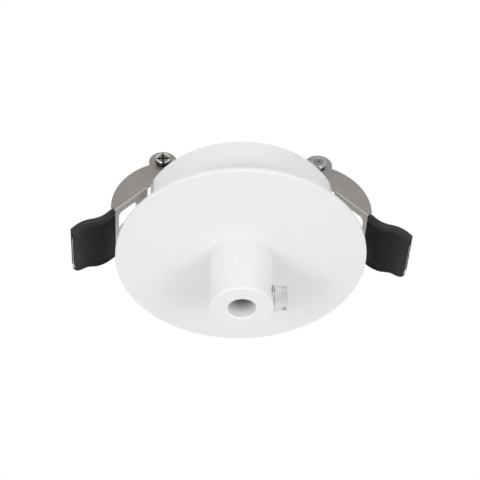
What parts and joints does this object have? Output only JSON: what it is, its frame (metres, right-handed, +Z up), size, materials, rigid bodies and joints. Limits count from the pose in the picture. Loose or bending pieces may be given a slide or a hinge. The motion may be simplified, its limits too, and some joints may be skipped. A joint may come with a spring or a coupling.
{
  "type": "ceiling rose",
  "caption": "Recessed ceiling rose: thin flange and round cup, hanging boss with a cord bore and side cord-grip screw, sprung clips with sleeved blades.",
  "frame": {"origin": "on the cord bore's axis, level with the flange's upper face, which meets the ceiling", "axes": "+Z up into the ceiling void along the cord, +X through both clips, towards the cord-grip screw"},
  "size_m": [0.1214, 0.09, 0.0654],
  "materials": {
    "white_metal": "smooth white powder coat, satin",
    "clear_plastic": "clear, moulded, polished",
    "clip_steel": "cold-rolled stainless spring sheet, bare",
    "bracket_steel": "zinc-plated sheet",
    "screw_steel": "bright zinc-plated",
    "spring_steel": "spring wire, lightly oiled",
    "black_sleeve": "smooth soft black tube, satin",
    "block_plastic": "moulded nylon, off white",
    "terminal_brass": "turned brass"
  },
  "bodies": {
    "root": {"rose_body": "white_metal", "outlet_boss": "white_metal", "boss_washer": "bracket_steel", "boss_nut": "bracket_steel", "hinge_bracket_right": "bracket_steel", "bracket_rivets_right": "screw_steel", "pivot_screw_right": "screw_steel", "pivot_nut_right": "screw_steel", "pivot_bush_right": "screw_steel", "torsion_spring_right": "spring_steel", "hinge_bracket_left": "bracket_steel", "bracket_rivets_left": "screw_steel", "pivot_screw_left": "screw_steel", "pivot_nut_left": "screw_steel", "pivot_bush_left": "screw_steel", "torsion_spring_left": "spring_steel", "terminal_block": "block_plastic", "terminal_inserts": "terminal_brass", "terminal_screws": "screw_steel", "terminal_fixing_screws": "screw_steel", "earth_washer": "terminal_brass", "earth_screw": "terminal_brass"},
    "clip_right": {"spring_clip_right": "clip_steel", "clip_sleeve_right": "black_sleeve"},
    "clip_left": {"spring_clip_left": "clip_steel", "clip_sleeve_left": "black_sleeve"},
    "grip_screw": {"cord_grip_screw": "clear_plastic"}
  },
  "joints": [
    {"name": "clip_right_hinge", "type": "hinge", "parent": "root", "child": "clip_right", "pos_m": [0.0286, 0, 0.03545], "axis": [0, -1, 0], "range_deg": [0, 140], "stiffness_Nm_per_rad": 0.15, "springref_deg": -40.11, "deforming": ["torsion_spring_right"]},
    {"name": "clip_left_hinge", "type": "hinge", "parent": "root", "child": "clip_left", "pos_m": [-0.0286, 0, 0.03545], "axis": [0, 1, 0], "range_deg": [0, 140], "stiffness_Nm_per_rad": 0.15, "springref_deg": -40.11, "deforming": ["torsion_spring_left"]},
    {"name": "grip_screw_slide", "type": "slide", "parent": "root", "child": "grip_screw", "axis": [-1, 0, 0], "range_m": [-0.0015, 0.0034]}
  ]
}
